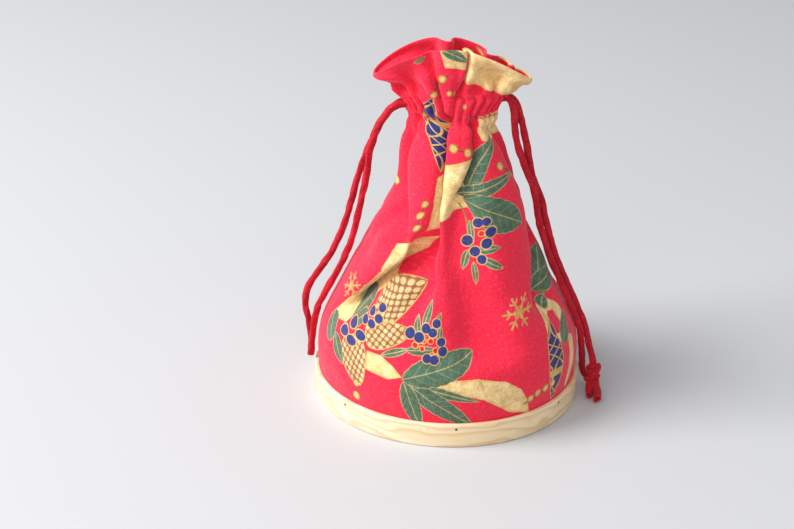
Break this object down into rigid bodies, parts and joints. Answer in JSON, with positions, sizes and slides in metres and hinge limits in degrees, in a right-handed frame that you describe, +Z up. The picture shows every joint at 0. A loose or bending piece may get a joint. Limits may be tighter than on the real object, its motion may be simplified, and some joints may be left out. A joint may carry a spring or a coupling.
{
  "type": "drawstring pouch on a wooden hoop base",
  "caption": "Gathered cotton drawstring bag nailed into a shallow bentwood hoop with a flat board floor, two drawstrings leaving a flared frill at either side",
  "frame": {"origin": "centre of the underside of the base", "axes": "+Z up through the mouth, -Y to the front, +X to the side where the knotted drawstring hangs"},
  "size_m": [0.176, 0.155, 0.207],
  "materials": {
    "printed_cotton": "plain-weave cotton printed with leaves, berries, cones and ribbons",
    "red_cord": "soft folded cotton strip",
    "pine": "pale sanded pine, grain along the band",
    "plain_pine": "unfinished pale pine",
    "nail": "dark small brad heads"
  },
  "bodies": {
    "root": {"outer_hoop": "pine", "inner_hoop": "plain_pine", "base_board": "plain_pine", "hoop_nail_1": "nail", "hoop_nail_2": "nail", "hoop_nail_3": "nail", "hoop_nail_4": "nail", "hoop_nail_5": "nail", "hoop_nail_6": "nail", "hoop_nail_7": "nail", "pouch_body": "printed_cotton", "left_drawstring_run": "red_cord", "left_front_tail": "red_cord", "left_back_tail": "red_cord", "right_drawstring_run": "red_cord", "right_front_tail": "red_cord", "right_back_tail": "red_cord", "right_knot": "red_cord"}
  },
  "joints": []
}
